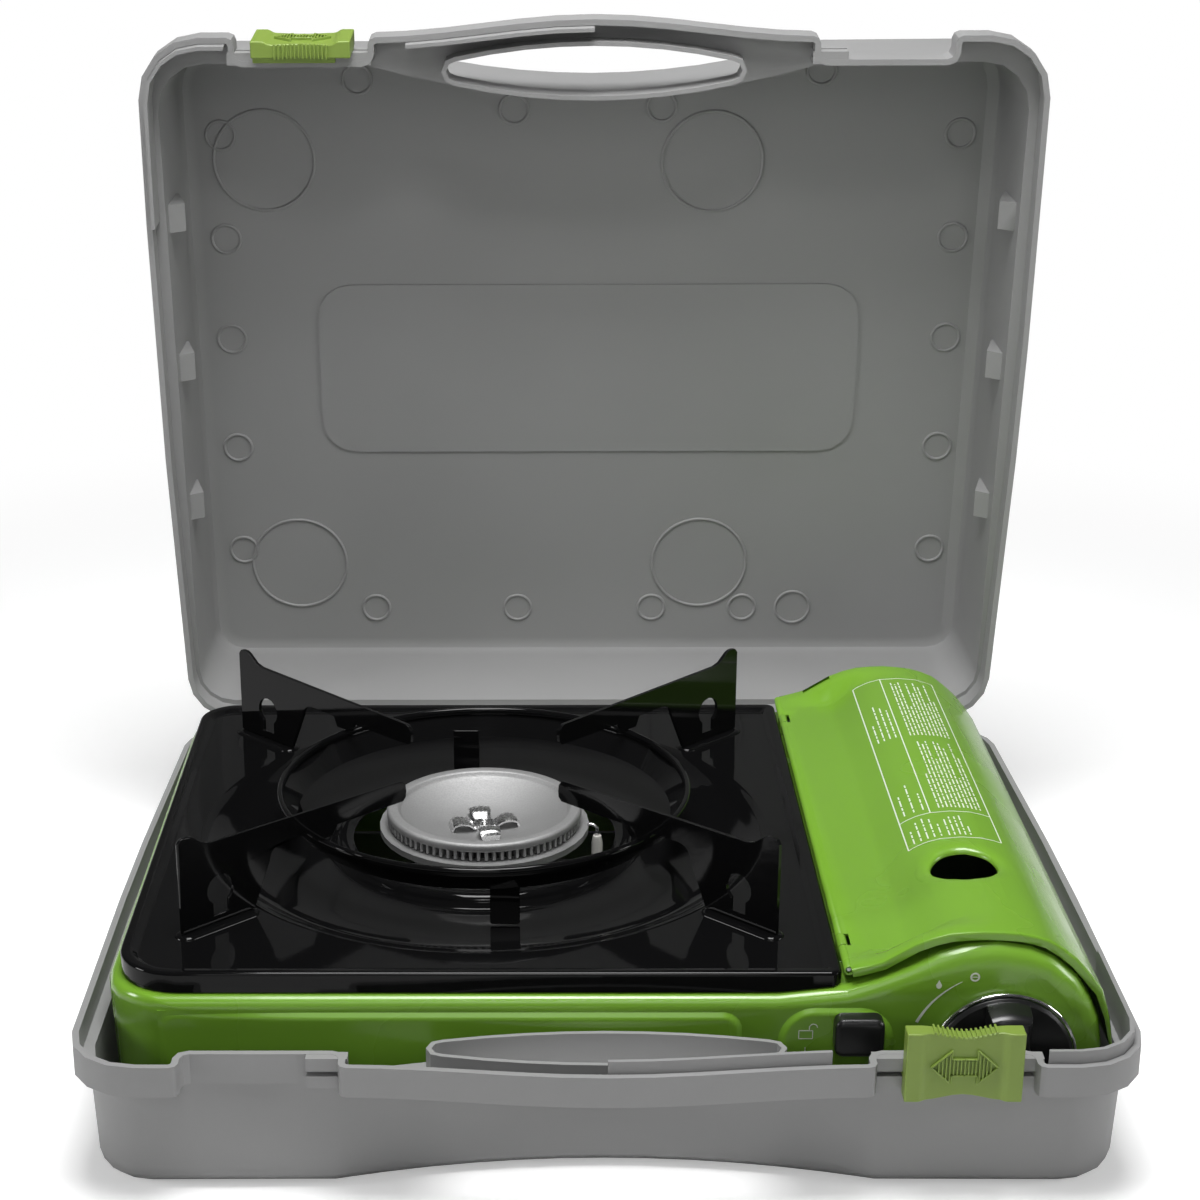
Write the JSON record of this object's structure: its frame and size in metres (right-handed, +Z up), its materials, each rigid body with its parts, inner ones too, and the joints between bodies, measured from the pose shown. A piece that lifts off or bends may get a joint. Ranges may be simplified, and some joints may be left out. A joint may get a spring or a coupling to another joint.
{
  "type": "portable gas stove in carrying case",
  "caption": "Portable gas stove with a side canister bay, standing in the tray of its open hinged carrying case with sliding latches.",
  "frame": {"origin": "middle of the width on the flat underside of the case's tray", "axes": "+X to the right along the case's long side, +Y to the back towards the case hinge, +Z up"},
  "size_m": [0.3718, 0.3787, 0.3722],
  "materials": {
    "case_plastic": "fine grained moulding",
    "latch_plastic": "satin",
    "green_enamel": "gloss",
    "black_enamel": "gloss",
    "cast_aluminium": "as cast, lightly machined",
    "zinc_steel": "zinc plated",
    "stainless_steel": "bright",
    "brass": "turned",
    "black_plastic": "satin",
    "chrome": "mirror",
    "rubber": "matt",
    "ceramic": "glazed",
    "lead_insulation": "satin"
  },
  "bodies": {
    "case": {"case_base": "case_plastic", "case_hinge_pin_left": "zinc_steel", "case_hinge_pin_right": "zinc_steel"},
    "lid": {"case_lid": "case_plastic"},
    "tray_latch": {"base_latch": "latch_plastic"},
    "cover_latch": {"lid_latch": "latch_plastic"},
    "stove": {"stove_body": "green_enamel", "bottom_plate": "zinc_steel", "foot_front_left": "rubber", "foot_front_right": "rubber", "foot_back_left": "rubber", "foot_back_right": "rubber", "heat_shield": "zinc_steel", "cartridge_bulkhead": "zinc_steel", "cartridge_cradle": "zinc_steel", "drip_pan": "black_enamel", "burner_base": "cast_aluminium", "burner_cap": "cast_aluminium", "cap_clip": "stainless_steel", "mixing_tube": "zinc_steel", "jet_holder": "brass", "gas_pipe": "brass", "burner_bracket": "zinc_steel", "electrode": "ceramic", "electrode_tip": "stainless_steel", "electrode_lead": "lead_insulation", "piezo_igniter": "black_plastic", "regulator_body": "cast_aluminium", "cartridge_connector": "brass", "dial_bezel": "chrome", "cover_hinge_pin": "zinc_steel"},
    "canister_cover": {"cartridge_cover": "green_enamel"},
    "supports": {"support_ring": "black_enamel", "pan_support_left_front": "black_enamel", "pan_support_left_back": "black_enamel", "pan_support_right_front": "black_enamel", "pan_support_right_back": "black_enamel"},
    "knob": {"control_knob": "black_plastic", "knob_shaft": "brass"},
    "lever": {"lock_lever": "black_plastic"},
    "pusher": {"cartridge_pusher": "zinc_steel"}
  },
  "joints": [
    {"name": "lid_hinge", "type": "hinge", "parent": "case", "child": "lid", "pos_m": [0, 0.1568, 0.05515], "axis": [1, 0, 0], "range_deg": [0, 85]},
    {"name": "tray_latch_slide", "type": "slide", "parent": "case", "child": "tray_latch", "axis": [-1, 0, 0], "range_m": [-0.003, 0.0068]},
    {"name": "lid_latch_slide", "type": "slide", "parent": "lid", "child": "cover_latch", "axis": [1, 0, 0], "range_m": [-0.0058, 0.0039]},
    {"name": "stove_lift", "type": "slide", "parent": "case", "child": "stove", "axis": [0, 0, -1], "range_m": [-0.07, 0]},
    {"name": "cover_hinge", "type": "hinge", "parent": "stove", "child": "canister_cover", "pos_m": [0.0846, 0, 0.0746], "axis": [0, 1, 0], "range_deg": [-75, 0]},
    {"name": "supports_lift", "type": "slide", "parent": "stove", "child": "supports", "axis": [0, 0, -1], "range_m": [-0.04, 0]},
    {"name": "knob_turn", "type": "hinge", "parent": "stove", "child": "knob", "pos_m": [0.1388, 0, 0.0434], "axis": [0, -1, 0], "range_deg": [0, 120]},
    {"name": "lever_slide", "type": "slide", "parent": "stove", "child": "lever", "axis": [0, 0, 1], "range_m": [-0.012, 0]},
    {"name": "pusher_slide", "type": "slide", "parent": "stove", "child": "pusher", "axis": [0, 1, 0], "range_m": [-0.008, 0]}
  ],
  "couplings": [
    {"joint": "pusher_slide", "follows": "lever_slide", "ratio": 0.66667}
  ]
}
